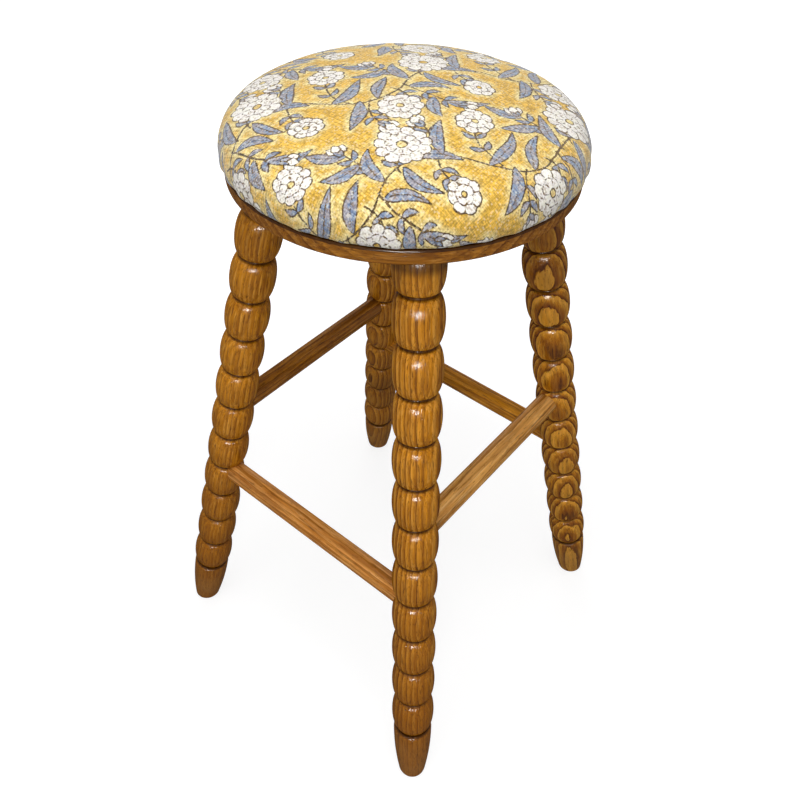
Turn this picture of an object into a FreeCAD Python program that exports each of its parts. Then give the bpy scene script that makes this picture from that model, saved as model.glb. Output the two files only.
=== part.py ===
import FreeCAD, Part
import math
import operator
import os
from types import SimpleNamespace

import Sketcher

# Bar stool: four splayed bobbin-turned legs wedged into a round seat board, four stretchers
# at staggered heights, and an upholstered pad screwed to the board from below.
# Millimetres, +Z up, origin on the floor under the middle of the seat, front towards -Y.

DIMENSIONS = (
    # name, value, what it measures
    ("seat_underside", 673, "floor to the underside of the seat board"),
    ("board_radius", 167, "seat board, radius"),
    ("board_thickness", 15, "seat board, thickness"),
    ("board_lower_round", 3, "seat board, rounding of the lower edge"),
    ("board_upper_round", 2, "seat board, rounding of the upper edge"),
    ("leg_inset", 40, "seat board rim to the leg's axis, at the board's underside"),
    ("leg_splay", 138, "how far a leg's axis runs outwards from the board to the floor"),
    ("bead_count", 12, "beads turned on each leg"),
    ("bead_radius", 24, "leg, radius at the middle of a bead"),
    ("groove_radius", 18, "leg, radius in a groove"),
    ("groove_width", 1.2, "leg, flat at the bottom of a groove"),
    ("bead_lead", 1.1, "how far a bead's ellipse would run on past its groove"),
    ("foot_length", 75, "last groove to the floor, along the leg"),
    ("foot_shoulder", 4, "foot, rounding below the last groove"),
    ("foot_curve", 170, "foot, radius of the long taper"),
    ("foot_tip_radius", 14, "foot, radius on the floor"),
    ("foot_round", 2, "foot, rounding of the edge on the floor"),
    ("leg_tenon_radius", 12.5, "leg tenon through the seat board, radius"),
    ("wedge_thickness", 3, "tenon wedge, thickness at the seat board's top"),
    ("wedge_tip", 0.8, "tenon wedge, thickness at its tip"),
    ("wedge_depth", 12, "tenon wedge, depth driven into the tenon"),
    ("stretcher_radius", 12.5, "stretcher, radius"),
    ("stretcher_shoulder", 11, "leg axis to the stretcher's shoulder"),
    ("stretcher_tenon_radius", 8, "stretcher tenon, radius"),
    ("stretcher_tenon_length", 20, "stretcher tenon, length"),
    ("front_stretcher_height", 265, "floor to the front stretcher's axis"),
    ("right_stretcher_height", 356, "floor to the right stretcher's axis"),
    ("back_stretcher_height", 276, "floor to the back stretcher's axis"),
    ("left_stretcher_height", 361, "floor to the left stretcher's axis"),
    ("glue_gap", 0.1, "room for glue round every round tenon"),
    ("glue_well", 1, "room for glue past the end of a stretcher tenon"),
    ("pad_height", 62, "seat board to the top of the pad's crown"),
    ("pad_overhang", 2.4, "how far the pad swells past the seat board's rim"),
    ("pad_widest_height", 7.5, "seat board to the pad's widest point"),
    ("pad_side_radius", 36.5, "pad, rounding of the side"),
    ("pad_tuck_radius", 6, "pad, rounding where the cover turns under"),
    ("cover_thickness", 1.6, "seat cover, thickness of the cloth"),
    ("hem_width", 28, "seat cover, width turned under the pad board"),
    ("wadding_thickness", 6, "wadding between the cover and the foam"),
    ("pad_board_thickness", 9, "plywood board in the pad, thickness"),
    ("staple_count", 24, "staples that hold the hem"),
    ("staple_width", 10, "staple, width of the crown"),
    ("staple_wire", 0.9, "staple, thickness of the wire"),
    ("staple_bite", 6, "staple, depth in the pad board"),
    ("staple_sink", 0.3, "staple crown below the face of the cloth"),
    ("screw_count", 4, "screws that hold the pad"),
    ("screw_circle", 95, "stool axis to a screw's axis"),
    ("screw_length", 22, "screw, overall length"),
    ("screw_radius", 2, "screw, radius"),
    ("screw_head_radius", 4, "screw, radius of the countersunk head"),
    ("screw_head_height", 2.4, "screw, height of the countersunk head"),
    ("screw_point", 4, "screw, length of the point"),
    ("screw_clearance", 0.25, "room round a screw in the seat board"),
)

# A leg leans out towards each corner, with these signs along X and Y
LEG_CORNERS = {
    "front_left": (-1, -1),
    "front_right": (1, -1),
    "back_right": (1, 1),
    "back_left": (-1, 1),
}

# A stretcher runs along X or Y between two legs, on the side that its sign gives
STRETCHERS = {
    "front": ("x", -1, ("front_left", "front_right")),
    "right": ("y", 1, ("front_right", "back_right")),
    "back": ("x", 1, ("back_right", "back_left")),
    "left": ("y", -1, ("back_left", "front_left")),
}

ARITHMETIC = {"+": operator.add, "-": operator.sub, "*": operator.mul, "/": operator.truediv}
# The Sketcher's own numbers for a sketch's axes and for the points of an edge
X_AXIS, Y_AXIS = range(-1, -3, -1)
START, END, CENTRE = range(1, 4)
ORIGIN = FreeCAD.Vector(0, 0, 0)
Z = FreeCAD.Vector(0, 0, 1)
FLATNESS = 1e-4


class Size:
    """A number that keeps the sheet formula it was worked out from."""

    def __init__(self, value, formula):
        self.value = value
        self.formula = formula

    def __add__(self, other):
        return combine("+", self, other)

    def __sub__(self, other):
        return combine("-", self, other)

    def __rsub__(self, other):
        return combine("-", other, self)

    def __mul__(self, other):
        return combine("*", self, other)

    def __truediv__(self, other):
        return combine("/", self, other)

    def __neg__(self):
        return combine("*", self, -1)


def as_size(number):
    return number if isinstance(number, Size) else Size(number, repr(number))


def combine(sign, left, right):
    left, right = as_size(left), as_size(right)
    value = ARITHMETIC[sign](left.value, right.value)
    return Size(value, f"({left.formula} {sign} {right.formula})")


def root(size):
    return Size(math.sqrt(size.value), f"sqrt({size.formula})")


def arctangent(size):
    return Size(math.degrees(math.atan(size.value)), f"atan({size.formula})")


ZERO = Size(0, "0")


def make_sheet():
    """Writes the driving dimensions into the sheet and returns them as sizes."""
    sheet = doc.addObject("Spreadsheet::Sheet", "Sizes")
    for row, (name, value, meaning) in enumerate(DIMENSIONS, 1):
        sheet.set(f"A{row}", meaning)
        sheet.set(f"B{row}", str(value))
        sheet.setAlias(f"B{row}", name)
    doc.recompute()
    sizes = {name: Size(float(sheet.get(name)), f"Sizes.{name}") for name, _, _ in DIMENSIONS}
    return SimpleNamespace(**sizes)


def bind(thing, **settings):
    """Ties properties to sheet formulas; two underscores stand for a dot in a property's path."""
    for path, size in settings.items():
        thing.setExpression(path.replace("__", "."), as_size(size).formula)


def origin_feature(body, role):
    return next(f for f in body.Origin.OriginFeatures if f.Role == role)


def add_sketch(body, name, plane):
    sketch = body.newObject("Sketcher::SketchObject", name)
    sketch.AttachmentSupport = [(origin_feature(body, plane), "")]
    sketch.MapMode = "FlatFace"
    return sketch


def constrain(sketch, *parts, size=None):
    """Adds one constraint, and ties it to its size where it has one."""
    numbers = parts if size is None else (*parts, size.value)
    index = sketch.addConstraint(Sketcher.Constraint(*numbers))
    if size is not None:
        sketch.setExpression(f"Constraints[{index}]", size.formula)


def pin(sketch, edge, point, x, y):
    """Holds a point of a sketch at (x, y), on an axis where a coordinate is None."""
    for axis, kind, place in ((Y_AXIS, "DistanceX", x), (X_AXIS, "DistanceY", y)):
        if place is None:
            constrain(sketch, "PointOnObject", edge, point, axis)
        else:
            constrain(sketch, kind, X_AXIS, START, edge, point, size=place)


def spot(x, y):
    return FreeCAD.Vector(x.value if x else 0, y.value if y else 0, 0)


def add_line(sketch, start, end):
    return sketch.addGeometry(Part.LineSegment(start, end), False)


def add_arc(sketch, centre, radius, low, high):
    """Adds an arc that runs anticlockwise between two angles given in radians."""
    circle = Part.Circle(centre, Z, radius)
    return sketch.addGeometry(Part.ArcOfCircle(circle, low, high), False)


def draw_polygon(sketch, corners):
    """Draws a closed outline of straight lines through pinned corners."""
    edges = []
    for here, there in zip(corners, corners[1:] + corners[:1]):
        edges.append(add_line(sketch, spot(*here), spot(*there)))
    for edge, following, corner in zip(edges, edges[1:] + edges[:1], corners):
        constrain(sketch, "Coincident", edge, END, following, START)
        pin(sketch, edge, START, *corner)


def revolve(body, sketch, axis):
    turned = body.newObject("PartDesign::Revolution", sketch.Name + "_turned")
    turned.Profile = sketch
    turned.ReferenceAxis = (sketch, [axis])
    return turned


def polar_pattern(body, feature, count):
    pattern = body.newObject("PartDesign::PolarPattern", feature.Name + "_ring")
    pattern.Originals = [feature]
    pattern.Axis = (origin_feature(body, "Z_Axis"), [""])
    pattern.Angle = 360
    bind(pattern, Occurrences=count)
    body.Tip = pattern


def add_body(name):
    return doc.addObject("PartDesign::Body", name)


def boolean(kind, name, base, tool):
    """Joins or cuts two shapes, which have to be worked out first."""
    doc.recompute()
    result = doc.addObject(f"Part::{kind}", name)
    result.Base = base
    result.Tool = tool
    return result


def add_cylinder(name, radius, height, bottom):
    cylinder = doc.addObject("Part::Cylinder", name)
    bind(cylinder, Radius=radius, Height=height, Placement__Base__z=bottom)
    return cylinder


def name_part(thing, label):
    thing.Label = label
    sub_parts.append(thing)
    return thing


def place_on_leg(thing, leg, below):
    """Lays a shape's Z along a leg's axis, its origin this far below the seat board's underside."""
    out_x, out_y = (sign * math.sqrt(0.5) for sign in LEG_CORNERS[leg])
    reach = leg_top_reach + below * dim.leg_splay / leg_length
    tilt_axis = FreeCAD.Vector(out_y, -out_x, 0)
    thing.Placement = FreeCAD.Placement(ORIGIN, FreeCAD.Rotation(tilt_axis, 1))
    bind(
        thing,
        Placement__Base__x=reach * out_x,
        Placement__Base__y=reach * out_y,
        Placement__Base__z=dim.seat_underside - below * dim.seat_underside / leg_length,
        Placement__Rotation__Angle=arctangent(dim.leg_splay / dim.seat_underside),
    )


def draw_stem(body):
    """Half section of the leg's plain core, with the foot: a shoulder and a long convex taper."""
    sketch = add_sketch(body, body.Name + "_stem", "XZ_Plane")
    neck_top = dim.bead_radius
    groove = dim.foot_length - leg_length - dim.groove_width / 2
    floor = -leg_length
    stub = floor - dim.foot_tip_radius / 2

    shoulder_centre = spot(dim.groove_radius, groove - dim.foot_shoulder)
    tip = spot(dim.foot_tip_radius, floor)
    taper_radius, shoulder_radius = dim.foot_curve.value, dim.foot_shoulder.value
    inner_radius = taper_radius - shoulder_radius
    across = tip - shoulder_centre
    along = (across.Length**2 + inner_radius**2 - taper_radius**2) / (2 * across.Length)
    inwards = math.sqrt(inner_radius**2 - along**2)
    unit = FreeCAD.Vector(across).normalize()
    taper_centre = shoulder_centre + unit * along + FreeCAD.Vector(unit.y, -unit.x, 0) * inwards
    touch = shoulder_centre - taper_centre
    touch_angle = math.atan2(touch.y, touch.x)
    stub_angle = math.asin((stub.value - taper_centre.y) / taper_radius)
    stub_direction = FreeCAD.Vector(math.cos(stub_angle), math.sin(stub_angle), 0)
    stub_corner = taper_centre + stub_direction * taper_radius

    top = add_line(sketch, spot(None, neck_top), spot(dim.groove_radius, neck_top))
    core = add_line(sketch, spot(dim.groove_radius, neck_top), spot(dim.groove_radius, groove))
    shoulder = add_arc(sketch, shoulder_centre, shoulder_radius, touch_angle, math.pi / 2)
    taper = add_arc(sketch, taper_centre, taper_radius, stub_angle, touch_angle)
    bottom = add_line(sketch, stub_corner, spot(None, stub))
    axis = add_line(sketch, spot(None, stub), spot(None, neck_top))
    floor_point = sketch.addGeometry(Part.Point(tip), True)

    constrain(sketch, "Coincident", axis, END, top, START)
    constrain(sketch, "Coincident", top, END, core, START)
    constrain(sketch, "Coincident", core, END, shoulder, END)
    constrain(sketch, "Tangent", shoulder, START, taper, END)
    constrain(sketch, "Coincident", taper, START, bottom, START)
    constrain(sketch, "Coincident", bottom, END, axis, START)
    constrain(sketch, "Horizontal", bottom)
    pin(sketch, top, START, None, neck_top)
    pin(sketch, core, START, dim.groove_radius, neck_top)
    pin(sketch, core, END, dim.groove_radius, groove)
    pin(sketch, shoulder, CENTRE, dim.groove_radius, groove - dim.foot_shoulder)
    pin(sketch, floor_point, START, dim.foot_tip_radius, floor)
    constrain(sketch, "PointOnObject", floor_point, START, taper)
    constrain(sketch, "Radius", taper, size=dim.foot_curve)
    pin(sketch, axis, START, None, stub)
    return sketch


def draw_bead(body):
    """Half section of the topmost bead: one stretch of an ellipse that swells from groove to groove."""
    sketch = add_sketch(body, body.Name + "_bead", "XZ_Plane")
    upper = -dim.groove_width / 2
    lower = dim.groove_width / 2 - bead_pitch
    middle = -bead_pitch / 2
    half_width = (bead_pitch - dim.groove_width) / 2
    half_length = half_width + dim.bead_lead
    fullness = half_width / half_length
    swell_depth = (dim.bead_radius - dim.groove_radius) / (1 - root(1 - fullness * fullness))
    centre_radius = dim.bead_radius - swell_depth

    top = add_line(sketch, spot(None, upper), spot(dim.groove_radius, upper))
    bottom = add_line(sketch, spot(dim.groove_radius, lower), spot(None, lower))
    axis = add_line(sketch, spot(None, lower), spot(None, upper))
    far_end = spot(centre_radius, middle + half_length)
    inner_side = spot(centre_radius - swell_depth, middle)
    ellipse = Part.Ellipse(far_end, inner_side, spot(centre_radius, middle))
    cut_off = math.acos(fullness.value)
    swell = sketch.addGeometry(Part.ArcOfEllipse(ellipse, cut_off - math.pi, -cut_off), False)
    long_axis = sketch.GeometryCount
    sketch.exposeInternalGeometry(swell)

    constrain(sketch, "Coincident", axis, END, top, START)
    constrain(sketch, "Coincident", top, END, swell, END)
    constrain(sketch, "Coincident", swell, START, bottom, START)
    constrain(sketch, "Coincident", bottom, END, axis, START)
    pin(sketch, top, START, None, upper)
    pin(sketch, top, END, dim.groove_radius, upper)
    pin(sketch, axis, START, None, lower)
    constrain(sketch, "Horizontal", bottom)
    pin(sketch, swell, CENTRE, centre_radius, middle)
    constrain(sketch, "Vertical", long_axis)
    constrain(sketch, "Distance", long_axis, size=half_length * 2)
    return sketch


def turn_leg(leg):
    """The leg as it comes off the lathe: core and foot, one bead, and its row of copies."""
    body = add_body(f"turning_{leg}")
    revolve(body, draw_stem(body), "V_Axis")
    bead = revolve(body, draw_bead(body), "V_Axis")
    row = body.newObject("PartDesign::LinearPattern", body.Name + "_beads")
    row.Originals = [bead]
    row.Direction = (origin_feature(body, "Z_Axis"), [""])
    row.Reversed = True
    bind(row, Length=bead_pitch * (dim.bead_count - 1), Occurrences=dim.bead_count)
    body.Tip = row
    place_on_leg(body, leg, ZERO)
    return body


def bar_on_leg(name, leg, radius):
    """A plain round bar along a leg's axis, from inside the top bead to past the seat board."""
    bar = add_cylinder(name, radius, dim.bead_radius * 2 + dim.board_thickness, ZERO)
    place_on_leg(bar, leg, dim.bead_radius)
    return bar


def make_wedge_blank(leg):
    """A long tapered slip across the leg's tenon, thickest at the top."""
    body = add_body(f"wedge_blank_{leg}")
    sketch = add_sketch(body, body.Name + "_taper", "XZ_Plane")
    board_line = dim.board_thickness * leg_length / dim.seat_underside
    tip = board_line - dim.wedge_depth
    spare = dim.leg_tenon_radius / 2
    growth = (dim.wedge_thickness - dim.wedge_tip) / dim.wedge_depth
    top_half = (dim.wedge_thickness + growth * spare) / 2
    tip_half = dim.wedge_tip / 2
    top = board_line + spare
    draw_polygon(sketch, [(-top_half, top), (top_half, top), (tip_half, tip), (-tip_half, tip)])
    slip = body.newObject("PartDesign::Pad", body.Name + "_slip")
    slip.Profile = sketch
    slip.SideType = "Symmetric"
    bind(slip, Length=dim.leg_tenon_radius * 2)
    place_on_leg(body, leg, ZERO)
    return body


def stretcher_height(side):
    return getattr(dim, f"{side}_stretcher_height")


def make_stretcher(name, side, gap, well):
    """A turned rod with a tenon at each end; gap and well make it the cutter of its own sockets."""
    direction, sign, _ = STRETCHERS[side]
    height = stretcher_height(side)
    off_centre = (leg_top_reach + dim.leg_splay * (1 - height / dim.seat_underside)) * math.sqrt(0.5)
    half_rod = off_centre - dim.stretcher_shoulder
    tenon_end = dim.stretcher_tenon_length + well
    rod_end = tenon_end + half_rod * 2
    far_end = rod_end + tenon_end
    rod, tenon = dim.stretcher_radius + gap, dim.stretcher_tenon_radius + gap

    body = add_body(name)
    sketch = add_sketch(body, name + "_section", "XY_Plane")
    corners = [
        (None, None),
        (None, tenon),
        (tenon_end, tenon),
        (tenon_end, rod),
        (rod_end, rod),
        (rod_end, tenon),
        (far_end, tenon),
        (far_end, None),
    ]
    draw_polygon(sketch, corners)
    revolve(body, sketch, "H_Axis")
    start = -(half_rod + tenon_end)
    if direction == "x":
        bind(body, Placement__Base__x=start, Placement__Base__y=off_centre * sign)
    else:
        body.Placement = FreeCAD.Placement(ORIGIN, FreeCAD.Rotation(Z, 90))
        bind(body, Placement__Base__x=off_centre * sign, Placement__Base__y=start)
    bind(body, Placement__Base__z=height)
    return body


def edges_at_height(shape, height):
    """Numbers of the edges that lie flat at a height."""
    flat = []
    for number, edge in enumerate(shape.Edges, 1):
        box = edge.BoundBox
        if max(abs(box.ZMin - height), abs(box.ZMax - height)) < FLATNESS:
            flat.append(number)
    return flat


def make_legs(sockets):
    """Each leg is trimmed at the floor and the seat board, then gets its tenon, kerf and sockets."""
    span = leg_top_reach + dim.leg_splay + dim.bead_radius * 2
    under_seat = add_cylinder("room_under_seat", span, dim.seat_underside, ZERO)
    under_pad = add_cylinder("room_under_pad", span, board_top, ZERO)
    for leg in LEG_CORNERS:
        shank = boolean("Common", f"shank_{leg}", turn_leg(leg), under_seat)
        bar = bar_on_leg(f"tenon_bar_{leg}", leg, dim.leg_tenon_radius)
        tenon = boolean("Common", f"tenon_{leg}", bar, under_pad)
        slip = make_wedge_blank(leg)
        shape = boolean("Fuse", f"whole_{leg}", shank, tenon)
        shape = boolean("Cut", f"kerfed_{leg}", shape, slip)
        for side, (_, _, legs) in STRETCHERS.items():
            if leg in legs:
                shape = boolean("Cut", f"socketed_{leg}_{side}", shape, sockets[side])
        doc.recompute()
        eased = doc.addObject("Part::Fillet", f"eased_{leg}")
        eased.Base = shape
        round_over = dim.foot_round.value
        eased.Edges = [(edge, round_over, round_over) for edge in edges_at_height(shape.Shape, 0)]
        name_part(eased, f"leg_{leg}")
        name_part(boolean("Common", f"trimmed_wedge_{leg}", slip, tenon), f"wedge_{leg}")


def make_stretchers():
    """The four rods, and the cutters of their sockets."""
    sockets = {}
    for side in STRETCHERS:
        name_part(make_stretcher(f"rod_{side}", side, ZERO, ZERO), f"stretcher_{side}")
        sockets[side] = make_stretcher(f"socket_{side}", side, dim.glue_gap, dim.glue_well)
    return sockets


def round_rim(body, disc, height, radius):
    """Rounds the rim of a disc at one height of its own frame."""
    doc.recompute()
    rim = body.newObject("PartDesign::Fillet", f"{body.Name}_round_{len(body.Group)}")
    rim.Base = (disc, [f"Edge{number}" for number in edges_at_height(disc.Shape, height.value)])
    bind(rim, Radius=radius)
    return rim


def make_seat_board(bores):
    """A round board with eased rims, slanted mortises for the legs and countersunk screw holes."""
    body = add_body("board_blank")
    sketch = add_sketch(body, "board_outline", "XY_Plane")
    circle = sketch.addGeometry(Part.Circle(ORIGIN, Z, dim.board_radius.value), False)
    constrain(sketch, "Coincident", circle, CENTRE, X_AXIS, START)
    constrain(sketch, "Radius", circle, size=dim.board_radius)
    disc = body.newObject("PartDesign::Pad", "board_disc")
    disc.Profile = sketch
    bind(disc, Length=dim.board_thickness)
    lower = round_rim(body, disc, ZERO, dim.board_lower_round)
    round_rim(body, lower, dim.board_thickness, dim.board_upper_round)
    bind(body, Placement__Base__z=dim.seat_underside)
    shape = boolean("Cut", "board_bored", body, bores)
    for leg in LEG_CORNERS:
        bar = bar_on_leg(f"mortise_bar_{leg}", leg, dim.leg_tenon_radius + dim.glue_gap)
        shape = boolean("Cut", f"board_mortised_{leg}", shape, bar)
    name_part(shape, "seat_board")


def make_screws(name, outline):
    """A ring of equal screws, or of their bores, each turned from one half section."""
    body = add_body(name)
    sketch = add_sketch(body, name + "_section", "XZ_Plane")
    bind(sketch, AttachmentOffset__Base__x=dim.screw_circle)
    draw_polygon(sketch, outline)
    polar_pattern(body, revolve(body, sketch, "V_Axis"), dim.screw_count)
    return body


def screw_outline():
    """Countersunk head flush with the board's underside, shank and point."""
    bottom = dim.seat_underside
    top = bottom + dim.screw_length
    return [
        (None, bottom),
        (dim.screw_head_radius, bottom),
        (dim.screw_radius, bottom + dim.screw_head_height),
        (dim.screw_radius, top - dim.screw_point),
        (None, top),
    ]


def bore_outline():
    """The head's own cone, running into a clearance hole through the board."""
    bottom = dim.seat_underside
    bore = dim.screw_radius + dim.screw_clearance
    slope = dim.screw_head_height / (dim.screw_head_radius - dim.screw_radius)
    cone_top = bottom + slope * (dim.screw_head_radius - bore)
    top = board_top + dim.cover_thickness
    return [(None, bottom), (dim.screw_head_radius, bottom), (bore, cone_top), (bore, top), (None, top)]


def draw_pad_layer(body, inset, bottom):
    """Half section of the pad, or of a layer inside it: crown, swelling side and a flat underside.

    The crown and the side are arcs that touch, with the same centres at every inset. The outer
    layers turn under in a small arc; a layer cut off at a higher level has no turn of its own.
    """
    sketch = add_sketch(body, body.Name + "_section", "XZ_Plane")
    side_radius = dim.pad_side_radius - inset
    crown_radius = pad_crown_radius - inset
    crown_top = dim.pad_height - inset
    side_centre = spot(pad_side_centre, dim.pad_widest_height)
    crown_centre = spot(None, dim.pad_height - pad_crown_radius)
    touch = side_centre - crown_centre
    touch_angle = math.atan2(touch.y, touch.x)
    turns_under = inset.value < dim.pad_tuck_radius.value

    crown = add_arc(sketch, crown_centre, crown_radius.value, touch_angle, math.pi / 2)
    if turns_under:
        tuck_centre = spot(pad_base_radius, dim.pad_tuck_radius)
        fall = tuck_centre - side_centre
        low_angle = math.atan2(fall.y, fall.x)
        base_point = spot(pad_base_radius, bottom)
    else:
        rise = bottom - dim.pad_widest_height
        low_angle = math.asin(rise.value / side_radius.value)
        reach = side_radius.value * math.cos(low_angle)
        base_point = spot(pad_side_centre, bottom) + FreeCAD.Vector(reach, 0, 0)
    side = add_arc(sketch, side_centre, side_radius.value, low_angle, touch_angle)
    base = add_line(sketch, base_point, spot(None, bottom))
    axis = add_line(sketch, spot(None, bottom), spot(None, crown_top))

    constrain(sketch, "Coincident", base, END, axis, START)
    constrain(sketch, "Coincident", axis, END, crown, END)
    constrain(sketch, "Tangent", crown, START, side, END)
    pin(sketch, axis, START, None, bottom if bottom.value else None)
    pin(sketch, axis, END, None, crown_top)
    constrain(sketch, "PointOnObject", crown, CENTRE, Y_AXIS)
    pin(sketch, side, CENTRE, pad_side_centre, dim.pad_widest_height)
    constrain(sketch, "Radius", side, size=side_radius)
    if turns_under:
        tuck_radius = dim.pad_tuck_radius - inset
        tuck = add_arc(sketch, tuck_centre, tuck_radius.value, -math.pi / 2, low_angle)
        constrain(sketch, "Tangent", side, START, tuck, END)
        constrain(sketch, "Tangent", tuck, START, base, START)
        constrain(sketch, "Radius", tuck, size=tuck_radius)
    else:
        constrain(sketch, "Coincident", side, START, base, START)
    constrain(sketch, "Horizontal", base)
    return sketch


def make_pad_layer(name, inset, bottom):
    body = add_body(name)
    revolve(body, draw_pad_layer(body, inset, bottom), "V_Axis")
    bind(body, Placement__Base__z=board_top)
    return body


def make_staples():
    """A ring of wire staples through the hem into the pad board."""
    body = add_body("staples")
    sketch = add_sketch(body, "staple_outline", "YZ_Plane")
    bind(sketch, AttachmentOffset__Base__z=staple_circle - dim.staple_wire / 2)
    half = dim.staple_width / 2
    inner = half - dim.staple_wire
    crown = board_top + dim.staple_sink
    bend = crown + dim.staple_wire
    top = pad_board_bottom + dim.staple_bite
    corners = [
        (-half, crown),
        (half, crown),
        (half, top),
        (inner, top),
        (inner, bend),
        (-inner, bend),
        (-inner, top),
        (-half, top),
    ]
    draw_polygon(sketch, corners)
    wire = body.newObject("PartDesign::Pad", "staple_wire")
    wire.Profile = sketch
    bind(wire, Length=dim.staple_wire)
    polar_pattern(body, wire, dim.staple_count)
    return name_part(body, "cover_staples")


def make_pad(screws):
    """Cover, wadding and foam over a plywood board, layer inside layer."""
    staples = make_staples()
    outside = make_pad_layer("pad_outside", ZERO, ZERO)
    lining = make_pad_layer("cover_inside", dim.cover_thickness, dim.cover_thickness)
    foam_inset = dim.cover_thickness + dim.wadding_thickness
    foam_bottom = dim.cover_thickness + dim.pad_board_thickness
    foam = make_pad_layer("foam_core", foam_inset, foam_bottom)
    disc = add_cylinder("pad_board_disc", pad_board_radius, dim.pad_board_thickness, pad_board_bottom)
    window = add_cylinder("hem_window", pad_board_radius - dim.hem_width, dim.cover_thickness, board_top)

    shell = boolean("Cut", "cover_shell", outside, lining)
    hemmed = boolean("Cut", "cover_hemmed", shell, window)
    name_part(boolean("Cut", "cover_stapled", hemmed, staples), "seat_cover")
    loose = boolean("Cut", "wadding_round_foam", lining, foam)
    name_part(boolean("Cut", "wadding_round_board", loose, disc), "wadding")
    name_part(foam, "foam_pad")
    drilled = boolean("Cut", "pad_board_drilled", disc, screws)
    name_part(boolean("Cut", "pad_board_stapled", drilled, staples), "pad_board")


def check_and_export():
    """Stops on any failed object or bad shape, then writes one file for each piece."""
    doc.recompute()
    failed = [thing.Name for thing in doc.Objects if {"Invalid", "Error"} & set(thing.State)]
    if failed:
        raise SystemExit(f"objects that failed: {failed}")
    for part in sub_parts:
        if part.Shape.isNull() or not part.Shape.isValid() or not part.Shape.Solids:
            raise SystemExit(f"bad shape: {part.Label}")
    os.makedirs("parts", exist_ok=True)
    for part in sub_parts:
        part.Shape.exportStep(f"parts/{part.Label}.step")
        print(f"{part.Label}: {len(part.Shape.Solids)} solid(s), {part.Shape.Volume:.0f} mm3")


doc = FreeCAD.newDocument("bar_stool")
sub_parts = []
dim = make_sheet()

# Sizes worked out from the driving dimensions
leg_top_reach = dim.board_radius - dim.leg_inset
leg_length = root(dim.seat_underside * dim.seat_underside + dim.leg_splay * dim.leg_splay)
bead_pitch = (leg_length - dim.foot_length) / dim.bead_count
board_top = dim.seat_underside + dim.board_thickness
pad_side_centre = dim.board_radius + dim.pad_overhang - dim.pad_side_radius
side_rise = dim.pad_height - dim.pad_widest_height
pad_crown_radius = (
    pad_side_centre * pad_side_centre + side_rise * side_rise - dim.pad_side_radius * dim.pad_side_radius
) / ((side_rise - dim.pad_side_radius) * 2)
tuck_reach = dim.pad_side_radius - dim.pad_tuck_radius
tuck_drop = dim.pad_widest_height - dim.pad_tuck_radius
pad_base_radius = pad_side_centre + root(tuck_reach * tuck_reach - tuck_drop * tuck_drop)
pad_board_radius = pad_base_radius - dim.wadding_thickness
pad_board_bottom = board_top + dim.cover_thickness
staple_circle = pad_board_radius - dim.hem_width / 2

make_legs(make_stretchers())
pad_screws = name_part(make_screws("screws", screw_outline()), "pad_screws")
make_seat_board(make_screws("screw_bores", bore_outline()))
make_pad(pad_screws)
check_and_export()
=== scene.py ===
import math

import bpy
import numpy as np
from mathutils import Matrix, Vector


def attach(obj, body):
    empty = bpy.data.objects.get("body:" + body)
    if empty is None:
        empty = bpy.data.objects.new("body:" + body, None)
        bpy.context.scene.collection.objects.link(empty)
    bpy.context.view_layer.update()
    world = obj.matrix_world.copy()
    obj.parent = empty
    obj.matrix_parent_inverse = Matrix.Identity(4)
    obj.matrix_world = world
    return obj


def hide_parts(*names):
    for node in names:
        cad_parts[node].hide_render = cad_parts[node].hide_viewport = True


# Bar stool: bobbin-turned hardwood legs and stretchers, a hardwood seat board and a domed pad in
# printed slub cotton. Shapes are worked out in millimetres and put into the meshes in metres.

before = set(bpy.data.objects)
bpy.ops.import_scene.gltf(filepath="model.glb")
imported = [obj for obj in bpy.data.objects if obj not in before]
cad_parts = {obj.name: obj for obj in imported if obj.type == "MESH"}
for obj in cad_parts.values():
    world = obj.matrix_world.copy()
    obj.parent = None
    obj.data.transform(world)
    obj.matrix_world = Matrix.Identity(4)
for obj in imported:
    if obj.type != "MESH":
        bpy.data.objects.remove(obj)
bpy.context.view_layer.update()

MM = 0.001

# Seat board and leg axes, the same sizes as in the part
SEAT_UNDERSIDE = 673.0
BOARD_TOP = 688.0
BOARD_RADIUS = 167.0
BOARD_LOWER_ROUND = 3.0
BOARD_UPPER_ROUND = 2.0
LEG_TOP_REACH = 127.0
LEG_SPLAY = 138.0
LEG_LENGTH = math.hypot(SEAT_UNDERSIDE, LEG_SPLAY)
LEG_LEAN = math.atan2(LEG_SPLAY, SEAT_UNDERSIDE)

# Turning of the legs, with wider, deeper grooves and straighter feet than in the part
BEAD_COUNT = 12
BEAD_RADIUS = 24.0
BEAD_LEAD = 1.5
RIM_RADIUS = 19.5
GROOVE_RADIUS = 16.0
GROOVE_WIDTH = 5.5
GROOVE_LIFT = 2.5
NECK_RADIUS = 18.0
FOOT_LENGTH = 75.0
FOOT_STEP = 0.6
FOOT_SHOULDER = 4.0
FOOT_CURVE = 420.0
FOOT_TIP_RADIUS = 15.6
FOOT_ROUND = 2.0
BEAD_PITCH = (LEG_LENGTH - FOOT_LENGTH) / BEAD_COUNT
BEAD_HALF = (BEAD_PITCH - GROOVE_WIDTH) / 2
LAST_GROOVE = LEG_LENGTH - FOOT_LENGTH - GROOVE_LIFT
FOOT_TOP = LAST_GROOVE + FOOT_STEP
# How far up its axis a leg's skin starts, before it is cut level a little way into the board
LEG_START = 7.0
LEG_LET_IN = 0.5

# Painted shadow of the board on a leg's top: its depth, as a share of a groove's painted shade, and where it
# fades.
# Below the last groove the painted shade of the grooves fades over a shorter distance.
BOARD_SHADOW = 0.55
BOARD_SHADOW_FADES = 21.0
BOARD_SHADOW_ENDS = 29.0
FOOT_SHADE_FADE = 1.6
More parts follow.
